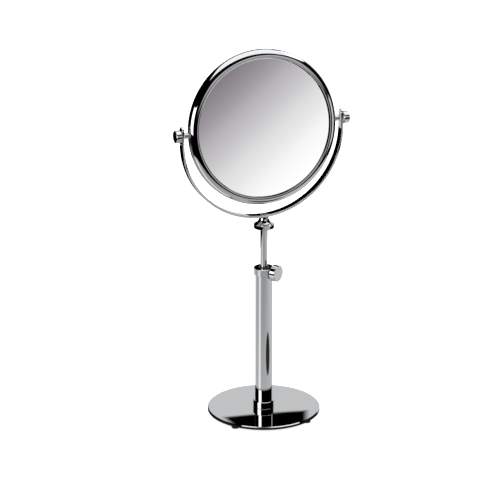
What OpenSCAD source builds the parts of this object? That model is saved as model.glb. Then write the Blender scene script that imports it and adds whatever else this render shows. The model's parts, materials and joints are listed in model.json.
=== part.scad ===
// Free-standing round shaving mirror on a height-adjustable stem.
// Millimetres, +Z up, origin on the table under the middle of the base.
// The plain mirror faces -Y, the pivots lie along X.

/* [Base and tube] */
// Diameter of the round base plate
base_d = 141; // [130:1:160]
// Thickness of the base plate
base_t = 4; // [3.5:0.5:6]
// Width of the bevel round the top edge of the base plate
base_bevel = 0.9; // [0.3:0.1:1.5]
// Height of the feet under the plate
foot_h = 3.5; // [2.5:0.5:5]
// Diameter of a foot
foot_d = 9.5; // [8:0.5:12]
// Outer diameter of the fixed tube
tube_d = 21.6; // [21:0.2:24]
// Wall thickness of the fixed tube
tube_wall = 1.2; // [1:0.1:1.5]
// Length of the fixed tube that shows, from the plate to the top collar
tube_len = 176.5; // [170:0.5:260]
// Outer diameter of the collar at the foot of the tube
base_collar_d = 26.2; // [25.5:0.1:30]
// Height of the collar at the foot of the tube
base_collar_h = 8.9; // [6:0.1:14]
// Outer diameter of the collar at the top of the tube
top_collar_d = 25.2; // [25:0.1:30]
// Height of the collar at the top of the tube
top_collar_h = 9.2; // [8:0.1:14]

/* [Clamp knob] */
// Direction of the clamp knob, turned from the front (-Y) towards +X
clamp_angle = 35; // [0:1:359]
// Diameter of the clamp knob
clamp_knob_d = 20.7; // [16:0.1:26]
// Length of the clamp knob
clamp_knob_l = 7.4; // [5:0.1:12]

/* [Stem] */
// Diameter of the sliding rod
rod_d = 9.1; // [8.5:0.1:9.6]
// Length of the rod that shows at rest
rod_show = 52; // [20:1:54]
// Diameter of the flange at the foot of the trumpet-shaped hub
hub_d = 25.2; // [22:0.1:30]
// Height of the straight side of the hub's flange
hub_rim_h = 5; // [2:0.1:6]
// Diameter of the hub where it meets the yoke
hub_top_d = 10.7; // [10.5:0.1:13]
// Height of the whole hub
hub_h = 14.8; // [13:0.1:18]

/* [Yoke] */
// Clear gap between the mirror frame and each yoke arm
side_gap = 6.5; // [5.5:0.5:10]
// Thickness of the yoke strip
yoke_t = 3; // [2.6:0.1:4]
// Width of the yoke strip
yoke_w = 10.6; // [10:0.1:14]
// How far the centre of the yoke's bend lies below the pivots
yoke_drop = 10; // [4:0.5:16]
// How far the round tips stand above the pivots
yoke_tip = 11.5; // [8:0.5:14]
// How far the yoke and the head sit to the left (-X) of the stem's axis
yoke_shift = 2.6; // [0:0.1:2.6]

/* [Mirror head] */
// Outer diameter of the mirror frame
frame_d = 193; // [180:1:220]
// Depth of the mirror frame, front to back
frame_depth = 17.6; // [17:0.1:20]
// Wall thickness of the pressed rims
rim_wall = 1.5; // [1.2:0.1:1.7]
// Diameter of the glass that shows inside the rim
view_d = 173; // [160:1:198]
// Thickness of each glass
glass_t = 3; // [2.5:0.1:3]
// Radius of curvature of the magnifying glass at the back
magnifier_r = 1000; // [900:50:3000]
// Backward tilt of the head at rest
head_tilt = 6.5; // [-30:0.5:30]

/* [Pivot knobs] */
// Diameter of each pivot knob
pivot_knob_d = 15.4; // [12:0.1:20]
// Length of each pivot knob
pivot_knob_l = 7; // [5:0.1:12]

/* [Hidden] */
$fn = 128;

// Colours
chrome = [0.80, 0.81, 0.83];
steel = [0.62, 0.63, 0.65];
silvered = [0.70, 0.72, 0.78];
black_rubber = [0.10, 0.10, 0.11];
nylon = [0.88, 0.87, 0.82];
black_nylon = [0.12, 0.12, 0.13];
brass = [0.78, 0.62, 0.33];
board = [0.55, 0.50, 0.42];

// Fits
eps = 0.01;          // overlap that keeps a cut clean
run = 0.05;          // radial clearance of a running or sliding fit
seat = 0.02;         // radial clearance of a pressed or screwed fit
edge = 0.4;          // small chamfer on turned edges

// Stand heights
base_r = base_d / 2;
base_top = foot_h + base_t;
feet_count = 4;
foot_ring_r = base_r - 6;
stem_r = 2;          // peg that holds a foot in the plate
stem_h = 2.4;
tube_r = tube_d / 2;
bore_r = tube_r - tube_wall;
collar_z = base_top + tube_len;
collar_top = collar_z + top_collar_h;

// Base screw, countersunk from below into the tube's plug
base_screw_r = 3;
base_head_r = 6;
base_head_h = 3;
base_screw_l = 16;
plug_h = 18;
sink_gap = 0.2;      // how far the screw head lies above the plate's underside

// Top collar and its bush
bush_r = 6;
spigot_h = 18;
bush_flange_r = 6.6;
bush_flange_h = 0.8;
rod_r = rod_d / 2;

// Clamp, measured outwards from the stem's axis
clamp_z = collar_z + top_collar_h / 2;
clamp_screw_r = 2.5;
pad_r = 2.1;
pad_in = rod_r + 0.1;
pad_out = 6.9;
knob_in = top_collar_d / 2 + 1.7;
knob_neck_r = 4.6;
knob_neck_l = 0.9;
stud_grip = 5;       // length of a screw inside its knob

// Sliding rod and its guide
guide_l = 15;
guide_core_r = 3.5;
end_gap = 0.1;       // axial play of the guide
rod_lift = 53.5;     // from the plug to the end of the rod, at rest
end_head_r = 4;
end_head_h = 2.4;
end_washer_r = 7.5;
end_washer_t = 1;
end_screw_r = 2;
end_z = base_top + plug_h + rod_lift;
washer_z = end_z + end_head_h;
guide_z = washer_z + end_washer_t + end_gap;
shoulder_z = guide_z + guide_l + end_gap;
hub_z = collar_top + rod_show;
hub_grip = 9.8;      // length of rod inside the hub
rod_top = hub_z + hub_grip;

// Hub: the flare is an arc between the flange's edge and the top
hub_r = hub_d / 2;
hub_top_r = hub_top_d / 2;
hub_ledge = 0.5;     // flat step between the flange's edge and the flare
flare_arc_r = 12;

// Yoke
frame_r = frame_d / 2;
yoke_in_r = frame_r + side_gap;
yoke_r = yoke_in_r + yoke_t;
yoke_low = hub_z + hub_h - 0.2;
bend_z = yoke_low + yoke_r;
pivot_z = bend_z + yoke_drop;
yoke_edge = 0.7;     // rounding of the strip's long edges
yoke_screw_r = 2.5;
yoke_head_r = 4.8;
yoke_head_h = 2.5;
yoke_screw_l = 15;

// Head, in its own frame: centre at the pivot, +Z out of the plain glass
tube_ring_r = frame_depth / 2;
ring_r = frame_r - tube_ring_r;
view_r = view_d / 2;
glass_front = tube_ring_r - rim_wall - 0.3;
glass_r = ring_r + 0.7;
glass_bevel_w = glass_r - view_r + 1.2;
glass_bevel_h = 0.6;
core_in_r = glass_r + 0.6;
core_half = 4;
core_out_r = ring_r + sqrt(pow(tube_ring_r - rim_wall - run, 2) - pow(core_half, 2));
seam = 0.06;         // half the hairline between the two rims
dish = glass_r * glass_r / (2 * magnifier_r);
board_front = glass_front - glass_t;
board_back = 0.1;
spacer_w = 8;

// Pivots, measured outwards from the middle of the head
boss_r = 3.5;
boss_in = core_in_r - 0.2;
washer_t = 0.6;
boss_out = yoke_in_r - washer_t - 2 * run;
pivot_screw_r = 2.5;
screw_in = boss_in + 4;
knob_washer_r = 5.5;
knob_washer_t = 0.5;
pivot_washer_in = yoke_r + run;
pivot_knob_in = pivot_washer_in + knob_washer_t + run;

// ---------------------------------------------------------------- helpers

// A turned disc or sleeve with its outer edges chamfered
module turned(r, h, c = edge) {
    rotate_extrude()
        polygon([[0, 0], [r - c, 0], [r, c], [r, h - c], [r - c, h], [0, h]]);
}

// A tube with square ends
module sleeve(r_out, r_in, h) {
    difference() {
        cylinder(r = r_out, h = h);
        translate([0, 0, -eps]) cylinder(r = r_in, h = h + 2 * eps);
    }
}

// Turns +Z into the clamp's outward direction, at the clamp's height
module at_clamp() {
    translate([0, 0, clamp_z]) rotate([0, 0, clamp_angle]) rotate([90, 0, 0]) children();
}

// Turns +Z into the outward direction of one pivot, riding with the tilted head
module at_pivot(side) {
    at_head() rotate([0, 90 * side, 0]) children();
}

// Head frame: +Z becomes the direction that the plain glass faces
module at_head() {
    translate([-yoke_shift, 0, pivot_z]) rotate([90 - head_tilt, 0, 0]) children();
}

module at_foot(i) {
    rotate([0, 0, clamp_angle + i * 360 / feet_count]) translate([0, -foot_ring_r, 0]) children();
}

// Countersunk screw pointing along +Z, its head's wide face at z = 0
module countersunk_screw(r, l, head_r, head_h, socket_r) {
    difference() {
        union() {
            cylinder(r1 = head_r, r2 = r, h = head_h);
            cylinder(r = r, h = l);
        }
        translate([0, 0, -eps]) cylinder(r = socket_r, h = head_h * 0.7, $fn = 6);
    }
}

// Clearance shape for that screw
module countersink(r, l, head_r, head_h) {
    translate([0, 0, -eps]) cylinder(r1 = head_r + run, r2 = r + run, h = head_h + eps);
    cylinder(r = r + run, h = l);
}

module rounded_rect(w, h, r) {
    square([w - 2 * r, h], center = true);
    square([w, h - 2 * r], center = true);
    for (x = [-1, 1], y = [-1, 1])
        translate([x * (w / 2 - r), y * (h / 2 - r)]) circle(r = r, $fn = 32);
}

// ---------------------------------------------------------------- stand

module base_plate() {
    color(chrome)
    difference() {
        rotate_extrude()
            polygon([
                [0, foot_h], [base_r - edge, foot_h], [base_r, foot_h + edge],
                [base_r, base_top - base_bevel], [base_r - base_bevel, base_top], [0, base_top]
            ]);
        translate([0, 0, foot_h - eps]) cylinder(r = base_head_r + run, h = sink_gap + 2 * eps);
        translate([0, 0, foot_h + sink_gap])
            countersink(base_screw_r, base_t + 1, base_head_r, base_head_h);
        for (i = [0 : feet_count - 1])
            at_foot(i) translate([0, 0, foot_h - eps])
                cylinder(r = stem_r + seat, h = stem_h + 0.1);
    }
}

module foot(i) {
    color(black_rubber)
    at_foot(i) {
        turned(foot_d / 2, foot_h);
        cylinder(r = stem_r, h = foot_h + stem_h);
    }
}

module base_screw() {
    color(steel)
    translate([0, 0, foot_h + sink_gap])
        countersunk_screw(base_screw_r, base_screw_l, base_head_r, base_head_h, 2.3);
}

module tube_plug() {
    color(steel)
    translate([0, 0, base_top])
    difference() {
        cylinder(r = bore_r - seat, h = plug_h);
        translate([0, 0, -eps]) cylinder(r = base_screw_r + seat, h = plug_h - 3);
    }
}

module base_collar() {
    color(chrome)
    translate([0, 0, base_top])
    difference() {
        turned(base_collar_d / 2, base_collar_h);
        translate([0, 0, -eps]) cylinder(r = tube_r + seat, h = base_collar_h + 2 * eps);
    }
}

module outer_tube() {
    color(chrome)
    translate([0, 0, base_top]) sleeve(tube_r, bore_r, tube_len);
}

module top_collar() {
    color(chrome)
    difference() {
        union() {
            translate([0, 0, collar_z]) turned(top_collar_d / 2, top_collar_h);
            translate([0, 0, collar_z - spigot_h]) cylinder(r = bore_r - seat, h = spigot_h + 1);
        }
        translate([0, 0, collar_z - spigot_h - 1])
            cylinder(r = bush_r + seat, h = spigot_h + top_collar_h + 2);
        at_clamp() cylinder(r = clamp_screw_r + run, h = top_collar_d);
    }
}

module guide_bush() {
    color(black_nylon)
    difference() {
        union() {
            translate([0, 0, collar_z - spigot_h]) cylinder(r = bush_r, h = spigot_h + top_collar_h);
            translate([0, 0, collar_top]) cylinder(r = bush_flange_r, h = bush_flange_h);
        }
        translate([0, 0, collar_z - spigot_h - 1])
            cylinder(r = rod_r + run, h = spigot_h + top_collar_h + bush_flange_h + 2);
        at_clamp() cylinder(r = pad_r + run, h = bush_r + 1);
    }
}

// ---------------------------------------------------------------- clamp

module clamp_pad() {
    color(brass)
    at_clamp() translate([0, 0, pad_in]) cylinder(r = pad_r, h = pad_out - pad_in);
}

module clamp_screw() {
    color(steel)
    at_clamp() translate([0, 0, pad_out + run])
        cylinder(r = clamp_screw_r, h = knob_in + stud_grip - pad_out - run);
}

module clamp_knob() {
    color(chrome)
    at_clamp()
    difference() {
        union() {
            translate([0, 0, knob_in]) turned(clamp_knob_d / 2, clamp_knob_l);
            translate([0, 0, knob_in - knob_neck_l]) cylinder(r = knob_neck_r, h = knob_neck_l + 1);
        }
        translate([0, 0, knob_in - knob_neck_l - eps])
            cylinder(r = clamp_screw_r + seat, h = knob_neck_l + stud_grip + 0.1);
    }
}

// ---------------------------------------------------------------- stem

module rod_guide() {
    color(nylon)
    translate([0, 0, guide_z])
    difference() {
        turned(bore_r - run, guide_l);
        translate([0, 0, -eps]) cylinder(r = guide_core_r + run, h = guide_l + 2 * eps);
    }
}

module inner_rod() {
    color(chrome)
    difference() {
        union() {
            translate([0, 0, shoulder_z]) cylinder(r = rod_r, h = rod_top - shoulder_z);
            translate([0, 0, washer_z + end_washer_t])
                cylinder(r = guide_core_r, h = shoulder_z - washer_z - end_washer_t + 1);
        }
        translate([0, 0, washer_z]) cylinder(r = end_screw_r + seat, h = 12);
        translate([0, 0, rod_top - 10]) cylinder(r = yoke_screw_r + seat, h = 10 + eps);
    }
}

module end_washer() {
    color(steel)
    translate([0, 0, washer_z]) sleeve(end_washer_r, end_screw_r + seat, end_washer_t);
}

module end_screw() {
    color(steel)
    translate([0, 0, end_z])
    difference() {
        union() {
            cylinder(r = end_head_r, h = end_head_h);
            cylinder(r = end_screw_r, h = end_head_h + 10);
        }
        translate([0, 0, -eps]) cylinder(r = 1.5, h = 1.5, $fn = 6);
    }
}

// Half-section of the hub: a flange below a hollow flare
module hub_section() {
    foot_pt = [hub_r - hub_ledge, hub_rim_h];
    top_pt = [hub_top_r, hub_h];
    chord = foot_pt - top_pt;
    span = norm(chord);
    across = [-chord[1], chord[0]] / span;
    centre = (foot_pt + top_pt) / 2 + across * sqrt(pow(flare_arc_r, 2) - pow(span / 2, 2));
    polygon([[0, 0], [hub_r - edge, 0], [hub_r, edge], [hub_r, hub_rim_h - edge / 2],
             [hub_r - edge / 2, hub_rim_h], [0, hub_rim_h]]);
    difference() {
        polygon([[0, hub_rim_h - eps], [foot_pt[0], hub_rim_h - eps], foot_pt, top_pt, [0, hub_h]]);
        translate(centre) circle(r = flare_arc_r, $fn = 160);
    }
}

module stem_hub() {
    color(chrome)
    difference() {
        translate([0, 0, hub_z]) rotate_extrude() hub_section();
        translate([0, 0, hub_z - eps]) cylinder(r = rod_r + seat, h = hub_grip + eps);
        translate([0, 0, hub_z]) cylinder(r = yoke_screw_r + seat, h = hub_h + 1);
        translate([-yoke_shift, 0, bend_z]) rotate([90, 0, 0])
            cylinder(r = yoke_r, h = 2 * hub_d, center = true, $fn = 256);
    }
}

// ---------------------------------------------------------------- yoke

// One straight arm with its round tip, on the side given
module yoke_arm(side) {
    arm_mid = side * (yoke_in_r + yoke_t / 2);
    tip_r = yoke_w / 2;
    tip_z = yoke_drop + yoke_tip - tip_r;
    translate([arm_mid, 0, 0]) {
        linear_extrude(height = tip_z) rounded_rect(yoke_t, yoke_w, yoke_edge);
        translate([-yoke_t / 2, 0, tip_z]) rotate([0, 90, 0])
            turned_round(tip_r, yoke_t, yoke_edge);
    }
}

// A disc whose two rims are rounded
module turned_round(r, h, round_r) {
    rotate_extrude() {
        square([r - round_r, h]);
        translate([0, round_r]) square([r, h - 2 * round_r]);
        for (z = [round_r, h - round_r])
            translate([r - round_r, z]) circle(r = round_r, $fn = 32);
    }
}

// Clearance for the yoke's screw: its shank, its cone and the room above its head
module yoke_screw_room() {
    translate([0, 0, yoke_low - 1]) cylinder(r = yoke_screw_r + run, h = yoke_t + 2);
    translate([0, 0, yoke_low + yoke_t - yoke_head_h])
    rotate_extrude()
        polygon([
            [0, 0], [yoke_screw_r + run, 0], [yoke_head_r + run, yoke_head_h],
            [yoke_head_r + run, yoke_head_h + 1], [0, yoke_head_h + 1]
        ]);
}

module yoke() {
    color(chrome)
    difference() {
        translate([-yoke_shift, 0, bend_z]) {
            rotate([90, 0, 0]) rotate([0, 0, 180])
                rotate_extrude(angle = 180, $fn = 256)
                    translate([yoke_in_r + yoke_t / 2, 0]) rounded_rect(yoke_t, yoke_w, yoke_edge);
            for (side = [-1, 1]) yoke_arm(side);
        }
        for (side = [-1, 1])
            translate([-yoke_shift, 0, pivot_z]) rotate([0, 90 * side, 0])
                translate([0, 0, yoke_in_r - 1]) cylinder(r = pivot_screw_r + run, h = yoke_t + 2);
        yoke_screw_room();
    }
}

module yoke_screw() {
    color(steel)
    translate([0, 0, yoke_low + yoke_t]) mirror([0, 0, 1])
        countersunk_screw(yoke_screw_r, yoke_screw_l, yoke_head_r, yoke_head_h, 1.8);
}

// ---------------------------------------------------------------- head

// Section of one pressed rim: the outer half of a hollow round bead, cut back to the glass
module rim_section() {
    intersection() {
        difference() {
            translate([ring_r, 0]) circle(r = tube_ring_r, $fn = 128);
            translate([ring_r, 0]) circle(r = tube_ring_r - rim_wall, $fn = 128);
        }
        translate([view_r, seam]) square([frame_r, frame_depth]);
    }
}

module rim(face) {
    at_head()
    difference() {
        mirror([0, 0, face]) rotate_extrude($fn = 256) rim_section();
        for (side = [-1, 1]) rotate([0, 90 * side, 0]) cylinder(r = boss_r + seat, h = frame_r + 1);
    }
}

module core_ring() {
    color(steel)
    at_head()
    difference() {
        translate([0, 0, -core_half]) cylinder(r = core_out_r, h = 2 * core_half, $fn = 256);
        translate([0, 0, -core_half - 1]) cylinder(r = core_in_r, h = 2 * core_half + 2, $fn = 256);
        for (side = [-1, 1]) rotate([0, 90 * side, 0]) cylinder(r = boss_r + seat, h = frame_r + 1);
    }
}

module front_rim() {
    color(chrome) rim(0);
}

module rear_rim() {
    color(chrome) rim(1);
}

module front_glass() {
    color(silvered)
    at_head()
    rotate_extrude($fn = 256)
        polygon([
            [0, glass_front - glass_t], [glass_r, glass_front - glass_t],
            [glass_r, glass_front - glass_bevel_h], [glass_r - glass_bevel_w, glass_front],
            [0, glass_front]
        ]);
}

// Bent glass of even thickness: hollow towards the back
module rear_glass() {
    centre_z = -glass_front + dish - magnifier_r;
    color(silvered)
    at_head()
    intersection() {
        translate([0, 0, -glass_front]) cylinder(r = glass_r, h = dish + glass_t + 1, $fn = 256);
        translate([0, 0, centre_z])
        rotate_extrude($fn = 256)
            intersection() {
                difference() {
                    circle(r = magnifier_r + glass_t, $fn = 2400);
                    circle(r = magnifier_r, $fn = 2400);
                }
                translate([0, magnifier_r - 2 * dish])
                    square([glass_r + 1, 2 * dish + glass_t + 1]);
            }
    }
}

module backing_disc() {
    color(board)
    at_head()
    translate([0, 0, board_back]) cylinder(r = glass_r - 0.4, h = board_front - board_back);
}

module spacer_ring() {
    inner = glass_r - spacer_w;
    rise = (glass_r * glass_r - inner * inner) / (2 * magnifier_r);
    low = -glass_front + glass_t + rise + 0.05;
    color(board)
    at_head()
    translate([0, 0, low]) sleeve(glass_r - 0.4, inner, board_back - low);
}

// ---------------------------------------------------------------- pivots

module boss(side) {
    color(chrome)
    at_pivot(side)
    difference() {
        translate([0, 0, boss_in]) cylinder(r = boss_r, h = boss_out - boss_in);
        translate([0, 0, screw_in - 1])
            cylinder(r = pivot_screw_r + seat, h = boss_out - screw_in + 2);
    }
}

module friction_washer(side) {
    color(nylon)
    at_pivot(side)
    translate([0, 0, boss_out + run / 2]) sleeve(boss_r + 0.8, pivot_screw_r + run, washer_t);
}

module knob_washer(side) {
    color(nylon)
    at_pivot(side)
    translate([0, 0, pivot_washer_in]) sleeve(knob_washer_r, pivot_screw_r + run, knob_washer_t);
}

module pivot_screw(side) {
    color(steel)
    at_pivot(side)
    translate([0, 0, screw_in]) cylinder(r = pivot_screw_r, h = pivot_knob_in + stud_grip - screw_in);
}

module pivot_knob(side) {
    color(chrome)
    at_pivot(side)
    translate([0, 0, pivot_knob_in])
    difference() {
        turned(pivot_knob_d / 2, pivot_knob_l);
        translate([0, 0, -eps]) cylinder(r = pivot_screw_r + seat, h = stud_grip + 0.1);
    }
}

// ---------------------------------------------------------------- nodes

base_plate();
for (i = [0 : feet_count - 1])
    foot(i);
base_screw();
tube_plug();
base_collar();
outer_tube();
top_collar();
guide_bush();
clamp_pad();
clamp_screw();
clamp_knob();
rod_guide();
inner_rod();
end_washer();
end_screw();
stem_hub();
yoke();
yoke_screw();
core_ring();
front_rim();
rear_rim();
front_glass();
rear_glass();
backing_disc();
spacer_ring();
boss(-1);  // left_boss
boss(1);  // right_boss
friction_washer(-1);  // left_friction_washer
friction_washer(1);  // right_friction_washer
knob_washer(-1);  // left_knob_washer
knob_washer(1);  // right_knob_washer
pivot_screw(-1);  // left_pivot_screw
pivot_screw(1);  // right_pivot_screw
pivot_knob(-1);  // left_pivot_knob
pivot_knob(1);  // right_pivot_knob
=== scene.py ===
"""Looks of a free-standing round shaving mirror: camera, materials, floor and studio round the CAD frame.

Metres, the CAD frame: +Z up, origin on the table under the middle of the base, the plain mirror facing -Y.
"""

import json
import math

import bpy
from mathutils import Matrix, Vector


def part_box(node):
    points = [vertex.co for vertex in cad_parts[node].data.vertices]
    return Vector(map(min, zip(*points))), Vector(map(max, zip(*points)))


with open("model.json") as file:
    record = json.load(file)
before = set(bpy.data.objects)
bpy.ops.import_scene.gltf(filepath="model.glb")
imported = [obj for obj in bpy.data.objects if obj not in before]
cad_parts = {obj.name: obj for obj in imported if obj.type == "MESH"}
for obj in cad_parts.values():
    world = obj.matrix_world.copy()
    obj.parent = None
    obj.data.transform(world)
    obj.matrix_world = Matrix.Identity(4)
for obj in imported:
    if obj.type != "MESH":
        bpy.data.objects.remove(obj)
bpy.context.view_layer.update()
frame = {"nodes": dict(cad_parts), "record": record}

# ---------------------------------------------------------------- viewpoint
VIEW_TURN = math.radians(21.57)      # the camera stands this far round to the left of the mirror's front
VIEW_RISE = math.radians(19.81)      # and looks down by this much
VIEW_DISTANCE = 4.0
AIM_HEIGHT = 0.2156
AIM_LEFT = 0.01722
LENS = 232.65                        # mm, on a 36 mm sensor


def turned(angle):
    """Horizontal direction seen from the object: 0 is towards the camera, positive to the camera's right."""
    a = -VIEW_TURN + angle
    return Vector((math.sin(a), -math.cos(a), 0))


RIGHT = turned(math.radians(90))


def make_camera():
    """The camera, aimed a little to the left of the stem."""
    towards = turned(0) * math.cos(VIEW_RISE) + Vector((0, 0, math.sin(VIEW_RISE)))
    aim = Vector((0, 0, AIM_HEIGHT)) - RIGHT * AIM_LEFT
    data = bpy.data.cameras.new("camera")
    data.lens = LENS
    data.sensor_width = 36
    data.clip_start = 0.1
    data.clip_end = 100
    camera = bpy.data.objects.new("camera", data)
    camera.location = aim + towards * VIEW_DISTANCE
    camera.rotation_mode = "QUATERNION"
    camera.rotation_quaternion = (-towards).to_track_quat("-Z", "Y")
    bpy.context.scene.collection.objects.link(camera)
    bpy.context.scene.camera = camera


make_camera()

# ---------------------------------------------------------------- node helpers


def smooth(tree, value, start, stop, low, high, course="SMOOTHSTEP"):
    """Takes a value that runs from start to stop to a range from low to high, and holds it past them."""
    node = tree.nodes.new("ShaderNodeMapRange")
    node.interpolation_type = course
    node.inputs["From Min"].default_value = start
    node.inputs["From Max"].default_value = stop
    node.inputs["To Min"].default_value = low
    node.inputs["To Max"].default_value = high
    tree.links.new(value, node.inputs["Value"])
    return node.outputs["Result"]


def combine(tree, operation, first, second):
    """A Math node on two values, each an output or a number."""
    node = tree.nodes.new("ShaderNodeMath")
    node.operation = operation
    for socket, value in zip(node.inputs, (first, second)):
        if isinstance(value, (int, float)):
            socket.default_value = value
        else:
            tree.links.new(value, socket)
    return node.outputs["Value"]


def multiply(tree, first, second):
    return combine(tree, "MULTIPLY", first, second)


def edge_mask(tree, axis_value, soft):
    """1 inside a card and 0 at its two edges across one axis."""
    rise = smooth(tree, axis_value, 0.0, soft, 0.0, 1.0)
    fall = smooth(tree, axis_value, 1.0, 1.0 - soft, 0.0, 1.0)
    return multiply(tree, rise, fall)


def along(tree, direction, origin=(0, 0, 0)):
    """How far a shaded point lies from the origin in that direction."""
    where = tree.nodes.new("ShaderNodeNewGeometry")
    offset = tree.nodes.new("ShaderNodeVectorMath")
    offset.operation = "SUBTRACT"
    offset.inputs[1].default_value = origin
    tree.links.new(where.outputs["Position"], offset.inputs[0])
    reach = tree.nodes.new("ShaderNodeVectorMath")
    reach.operation = "DOT_PRODUCT"
    reach.inputs[1].default_value = direction
    tree.links.new(offset.outputs["Vector"], reach.inputs[0])
    return reach.outputs["Value"]


# ---------------------------------------------------------------- materials


def new_material(name, color, metallic):
    """A Principled material, with its node tree and its shader."""
    material = bpy.data.materials.new(name)
    material.use_nodes = True
    tree = material.node_tree
    shader = tree.nodes["Principled BSDF"]
    shader.inputs["Base Color"].default_value = (*color, 1)
    shader.inputs["Metallic"].default_value = metallic
    return material, tree, shader


def noise(tree, scale, detail):
    """Noise in the object's own space; returns its Factor output."""
    where = tree.nodes.new("ShaderNodeTexCoord")
    texture = tree.nodes.new("ShaderNodeTexNoise")
    texture.inputs["Scale"].default_value = scale
    texture.inputs["Detail"].default_value = detail
    tree.links.new(where.outputs["Object"], texture.inputs["Vector"])
    return texture.outputs["Fac"]


def between(tree, texture, low, high):
    """Takes a noise, which lies mostly between 0.3 and 0.7, to the range from low to high."""
    return smooth(tree, texture, 0.3, 0.7, low, high, "LINEAR")


def bump(tree, shader, height, strength, depth):
    """Gives a shader the relief of a height output; depth is in metres."""
    node = tree.nodes.new("ShaderNodeBump")
    node.inputs["Strength"].default_value = strength
    node.inputs["Distance"].default_value = depth
    tree.links.new(height, node.inputs["Height"])
    tree.links.new(node.outputs["Normal"], shader.inputs["Normal"])


def chrome():
    """Polished chrome plate: near-mirror, with faint buffing haze."""
    material, tree, shader = new_material("polished_chrome", (0.55, 0.556, 0.565), 1.0)
    haze = noise(tree, 90, detail=5)
    tree.links.new(between(tree, haze, 0.003, 0.015), shader.inputs["Roughness"])
    bump(tree, shader, noise(tree, 400, detail=2), 0.005, 0.0001)
    return material


def mirror_glass(name, color):
    """Silvered glass with the faint haze of wiped glass."""
    material, tree, shader = new_material(name, color, 1.0)
    haze = noise(tree, 25, detail=6)
    tree.links.new(between(tree, haze, 0.0, 0.02), shader.inputs["Roughness"])
    return material


def plain(name, color, metallic, low, high, grain, depth):
    """A satin or matt finish whose roughness and relief follow a fine grain."""
    material, tree, shader = new_material(name, color, metallic)
    grains = noise(tree, grain, detail=6)
    tree.links.new(between(tree, grains, low, high), shader.inputs["Roughness"])
    bump(tree, shader, grains, 0.3, depth)
    return material


FINISHES = {
    "chrome": chrome(),
    "plain_mirror": mirror_glass("silvered_glass", (0.90, 0.90, 0.91)),
    "magnifying_mirror": mirror_glass("silvered_bent_glass", (0.90, 0.90, 0.91)),
    "steel": plain("zinc_plated_steel", (0.56, 0.57, 0.58), 1.0, 0.22, 0.38, 900, 0.00003),
    "brass": plain("turned_brass", (0.75, 0.55, 0.24), 1.0, 0.2, 0.35, 900, 0.00003),
    "rubber": plain("black_rubber", (0.02, 0.02, 0.022), 0.0, 0.6, 0.8, 1500, 0.00008),
    "nylon": plain("natural_nylon", (0.78, 0.77, 0.72), 0.0, 0.35, 0.5, 700, 0.00004),
    "black_nylon": plain("black_nylon", (0.02, 0.02, 0.022), 0.0, 0.3, 0.45, 700, 0.00004),
    "board": plain("pressed_fibre_board", (0.30, 0.21, 0.13), 0.0, 0.75, 0.95, 600, 0.0002),
}


def finish_nodes():
    """Gives every CAD node the finish of its material slot."""
    slots = {row["node"]: row["material_slot"] for row in frame["record"]["subparts"]}
    for name, node in frame["nodes"].items():
        node.data.materials.clear()
        node.data.materials.append(FINISHES[slots[name]])


finish_nodes()

# ---------------------------------------------------------------- studio
UP = Vector((0, 0, 1))
TABLE_RISE = 0.0002                  # the table card lies this far above the floor
EYE_HEIGHT = (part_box("front_glass")[0].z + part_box("front_glass")[1].z) / 2


def place(angle, distance, height):
    """A point of the studio: its direction in degrees, its distance from the stem and its height."""
    return turned(math.radians(angle)) * distance + UP * height


def at_rise(rise, distance):
    """Height of what is seen from the mirror's middle at that rise, in degrees, at that distance."""
    return EYE_HEIGHT + distance * math.tan(math.radians(rise))


def new_light(name):
    """A light-giving material: its tree and its Emission node."""
    material = bpy.data.materials.new(name)
    material.use_nodes = True
    material.cycles.emission_sampling = "NONE"
    tree = material.node_tree
    tree.nodes.clear()
    light = tree.nodes.new("ShaderNodeEmission")
    light.inputs["Color"].default_value = (1, 1, 1, 1)
    out = tree.nodes.new("ShaderNodeOutputMaterial")
    tree.links.new(light.outputs["Emission"], out.inputs["Surface"])
    return material, tree, light


def soft_light(name, level, soft_across, soft_up):
    """Light that fades towards a card's edges."""
    material, tree, light = new_light(name)
    where = tree.nodes.new("ShaderNodeUVMap")
    split = tree.nodes.new("ShaderNodeSeparateXYZ")
    tree.links.new(where.outputs["UV"], split.inputs["Vector"])
    across = edge_mask(tree, split.outputs["X"], soft_across)
    up = edge_mask(tree, split.outputs["Y"], soft_up)
    strength = multiply(tree, multiply(tree, across, up), level)
    tree.links.new(strength, light.inputs["Strength"])
    return material


def stage_mesh(name, rows, material):
    """A stage object from rows of points, with its UV running 0-1 along and across them."""
    count = len(rows[0])
    points = [tuple(p) for row in rows for p in row]
    faces = [
        (r * count + c, r * count + c + 1, (r + 1) * count + c + 1, (r + 1) * count + c)
        for r in range(len(rows) - 1)
        for c in range(count - 1)
    ]
    mesh = bpy.data.meshes.new(name)
    mesh.from_pydata(points, [], faces)
    uv = mesh.uv_layers.new(name="card")
    for loop in mesh.loops:
        row, column = divmod(loop.vertex_index, count)
        uv.data[loop.index].uv = (column / (count - 1), row / (len(rows) - 1))
    mesh.materials.append(material)
    stage = bpy.data.objects.new(name, mesh)
    bpy.context.scene.collection.objects.link(stage)
    return stage


def reflected_only(card):
    """Cards show in the chrome and in the glass, and nowhere else."""
    card.visible_camera = False
    card.visible_diffuse = False
    card.visible_shadow = False
    card.visible_transmission = False


def wall(name, turns, distance, lows, highs, level, soft):
    """A curved upright card round the stand, between two directions; its edges may slant."""
    steps = 24
    rows = [[], []]
    for i in range(steps + 1):
        share = i / steps
        angle = turns[0] + (turns[1] - turns[0]) * share
        rows[0].append(place(angle, distance, lows[0] + (lows[1] - lows[0]) * share))
        rows[1].append(place(angle, distance, highs[0] + (highs[1] - highs[0]) * share))
    card = stage_mesh(name, rows, soft_light(name, level, *soft))
    reflected_only(card)
    return card


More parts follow.
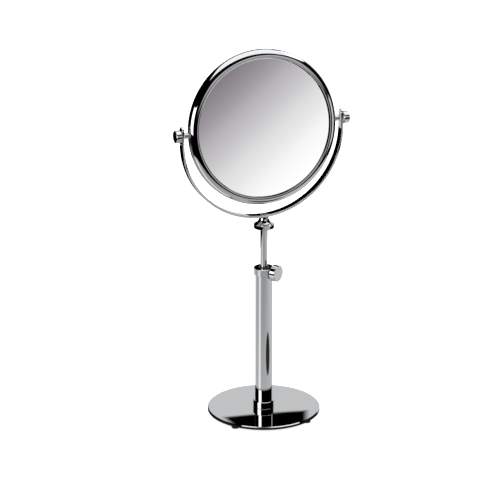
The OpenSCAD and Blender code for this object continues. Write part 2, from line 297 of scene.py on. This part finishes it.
def band(name, turns, distance, rises, level, soft):
    """A wall between two rises as seen from the mirror's middle."""
    low, high = (at_rise(rise, distance) for rise in rises)
    return wall(name, turns, distance, (low, low), (high, high), level, soft)


def lights_only(card, node):
    """This card is seen in that node alone."""
    seers = bpy.data.collections.new("seers_of_" + card.name)
    seers.objects.link(frame["nodes"][node])
    card.light_linking.receiver_collection = seers


def flat(name, front, side, height, level):
    """A level card: front is its reach away from and towards the camera, side its reach left and right."""
    soft = (0.03, 0.03)
    rows = [[turned(0) * f + RIGHT * s + UP * height for s in side] for f in front]
    reflected_only(stage_mesh(name, rows, soft_light(name, level, *soft)))


def make_yoke_glow():
    """A light line on the table, just where the front face of the yoke looks."""
    low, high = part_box("yoke")
    middle = (low.x + high.x) / 2
    radius = (high.x - low.x) / 2
    steps = 36
    turns = [math.pi * (i / steps - 0.5) for i in range(steps + 1)]
    bend = [(middle + radius * math.sin(turn), low.z + radius * (1 - math.cos(turn))) for turn in turns]
    face = [(low.x, high.z), *bend, (high.x, high.z)]
    inner, outer = 0.955, 1.06       # the line's edges, as shares of its distance from the stem
    eye = bpy.context.scene.camera.location
    line = []
    for x, z in face:
        spot = Vector((x, low.y, z))
        ray = spot - eye
        ray.y = -ray.y
        line.append(spot + ray * ((TABLE_RISE - z) / ray.z))
    rows = [[Vector((p.x * share, p.y * share, p.z)) for p in line] for share in (inner, outer)]
    reflected_only(stage_mesh("yoke_glow", rows, soft_light("yoke_glow", 0.75, 0.02, 0.1)))


def make_floor():
    """The plain pale floor; reflections see the table card just above it instead."""
    half = 12
    material, tree, shader = new_material("studio_floor", (0.86, 0.86, 0.86), 0.0)
    shader.inputs["Roughness"].default_value = 0.9
    shader.inputs["Emission Color"].default_value = (1, 1, 1, 1)
    shader.inputs["Emission Strength"].default_value = 0.8
    material.cycles.emission_sampling = "NONE"
    rows = [[(-half, y, 0), (half, y, 0)] for y in (-half, half)]
    floor = stage_mesh("studio_floor", rows, material)
    floor.visible_glossy = False


def make_world():
    """Even white light from all round, which the chrome and the glass don't see."""
    world = bpy.data.worlds.new("soft_light")
    world.use_nodes = True
    background = world.node_tree.nodes["Background"]
    background.inputs["Color"].default_value = (1, 1, 1, 1)
    background.inputs["Strength"].default_value = 1.25
    world.cycles_visibility.glossy = False
    bpy.context.scene.world = world


def make_gradient_card():
    """The white card that the plain mirror looks at; it darkens towards its upper left."""
    distance = 4.0
    middle = Vector((1.518, -distance, -0.036))
    reach = 0.17                         # half of the length over which it lightens
    margin = 0.018                       # how far the card runs on past it, so that it fills the glass
    lightwards = (0.588, 0, -0.809)      # from the dark corner to the light one
    material, tree, light = new_light("gradient_card")
    share = along(tree, lightwards, middle)
    ramp = tree.nodes.new("ShaderNodeValToRGB")
    ramp.color_ramp.interpolation = "CARDINAL"
    shades = (
        (0.23, 0.21, 0.235),
        (0.414, 0.398, 0.414),
        (0.648, 0.638, 0.643),
        (0.865, 0.861, 0.855),
        (1, 1, 0.99),
    )
    last = len(shades) - 1
    stops = ramp.color_ramp.elements
    for i in range(1, last):
        stops.new(i / last)
    for stop, shade in zip(stops, shades):
        stop.color = (*shade, 1)
    tree.links.new(smooth(tree, share, -reach, reach, 0.0, 1.0, "LINEAR"), ramp.inputs["Fac"])
    tree.links.new(ramp.outputs["Color"], light.inputs["Color"])
    light.inputs["Strength"].default_value = 1.12
    sides = (middle.x - reach - margin, middle.x + reach + margin)
    heights = (middle.z - reach - margin, middle.z + reach + margin)
    rows = [[(x, -distance, z) for x in sides] for z in heights]
    reflected_only(stage_mesh("gradient_card", rows, material))


def square_of(tree, value, radius=1.0):
    """The square of a length, as a share of a radius."""
    return combine(tree, "POWER", multiply(tree, value, 1 / radius), 2)


def window_streak(tree):
    """Light on the table that fans out under the window, and ends before the table card does."""
    course = math.radians(-55)
    core, fringe = math.radians(5), math.radians(24)
    ahead = along(tree, turned(course))
    aside = combine(tree, "ABSOLUTE", along(tree, turned(course + math.pi / 2)), 0)
    turn = combine(tree, "ARCTAN2", aside, ahead)
    glow = smooth(tree, turn, core, fringe, 0.75, 0.0)
    return multiply(tree, glow, smooth(tree, ahead, 0.55, 0.75, 1.0, 0.0))


def painted_table_shadow(tree):
    """A painted shadow on the table: a dark oval, which the tube shows as a slim dark lens."""
    course = math.radians(54)
    middle = turned(course) * 0.215
    half_length, half_width = 0.078, 0.1
    far = square_of(tree, along(tree, turned(course), middle), half_length)
    wide = square_of(tree, along(tree, turned(course + math.pi / 2), middle), half_width)
    return smooth(tree, combine(tree, "ADD", far, wide), 0.7, 1.25, 0.05, 1.0)


def plate_shade(tree):
    """Shade on the table under the base plate and just round it."""
    shade_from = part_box("base_plate")[1].x + 0.014
    shade_to = shade_from + 0.012
    square = combine(tree, "ADD", *(square_of(tree, along(tree, axis)) for axis in ((1, 0, 0), (0, 1, 0))))
    return smooth(tree, combine(tree, "SQRT", square, 0), shade_from, shade_to, 0.02, 1.0)


def make_table_card():
    """What the chrome sees of the table: greyer at the front left, with a light streak and painted shadows.
    """
    material, tree, light = new_light("table_card")
    level = smooth(tree, along(tree, turned(math.radians(150))), -0.45, 0.25, 0.53, 0.84)
    level = combine(tree, "ADD", level, window_streak(tree))
    # painted shadows: a dark oval and the shade round the plate darken the table card
    level = multiply(tree, level, painted_table_shadow(tree))
    level = multiply(tree, level, plate_shade(tree))
    tree.links.new(level, light.inputs["Strength"])

    middle = turned(math.radians(30)) * 0.06 + UP * TABLE_RISE
    radius = 0.67
    steps = 64
    rim = [middle + turned(2 * math.pi * i / steps) * radius for i in range(steps + 1)]
    reflected_only(stage_mesh("table_card", [[middle] * (steps + 1), rim], material))


def make_back_board():
    """The light wall behind; the plate's top shows a dark gap in it, over a slanting edge."""
    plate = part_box("base_plate")[1].z
    eye = bpy.context.scene.camera.location
    board = 1.0                          # the board's distance from the stem
    lip = 0.0245                         # the plate shows the gap's lower edge this far in front of the stem
    slant = 0.0915                       # how much that edge falls to the right, for each metre
    edge = plate + (board + lip) * (eye.z - plate) / (eye.xy.length - lip)
    material, tree, light = new_light("back_board")
    side = along(tree, RIGHT)
    over = combine(tree, "ADD", along(tree, UP, UP * edge), multiply(tree, side, slant))
    below = smooth(tree, over, -0.001, 0.0035, 1.0, 0.0)
    leaning = combine(tree, "SUBTRACT", side, over)
    beside = smooth(tree, leaning, -0.066, -0.054, 1.0, 0.0)
    left = multiply(tree, beside, smooth(tree, over, 0.03, 0.06, 1.0, 0.0))
    right = smooth(tree, side, 0.066, 0.080, 0.0, 1.0)
    lit = combine(tree, "MAXIMUM", below, combine(tree, "MAXIMUM", left, right))
    tree.links.new(multiply(tree, lit, 0.9), light.inputs["Strength"])
    steps = 24
    turns = [135 + 52 * i / steps for i in range(steps + 1)]
    rows = [[place(turn, board, height) for turn in turns] for height in (0, 0.9)]
    reflected_only(stage_mesh("back_board", rows, material))


def make_cards():
    """The light tent: dark towards the camera, lit at the sides, overhead and low behind.

    Directions are in degrees, from the camera round to its right; rises are seen from the mirror's middle.
    """
    make_gradient_card()
    make_table_card()
    make_back_board()
    flat("far_corner", (-1.0, -0.76), (-0.82, -0.50), TABLE_RISE, 0.85)
    make_yoke_glow()
    flat("ceiling", (-2.6, 1.19), (-1.56, 2.7), 2.6, 1.6)
    wall("upper_right", (78, 155), 0.9, (at_rise(40, 0.9), at_rise(20, 0.9)), (1.4, 1.4), 2.4, (0.1, 0.1))
    band("window", (-74, -27), 0.97, (-7, 20), 3.4, (0.2, 0.06))
    band("front_glow", (3, 78), 0.9, (2, 29), 0.7, (0.2, 0.2))
    band("low_right", (66, 94), 1.6, (-20, 5), 1.1, (0.15, 0.15))
    rear = wall("rear_light", (100, 290), 1.32, (-1.5, -1.5), (1.5, 1.5), 0.55, (0.05, 0.3))
    lights_only(rear, "rear_glass")


make_floor()
make_world()
make_cards()

bpy.context.scene.view_settings.view_transform = "Standard"
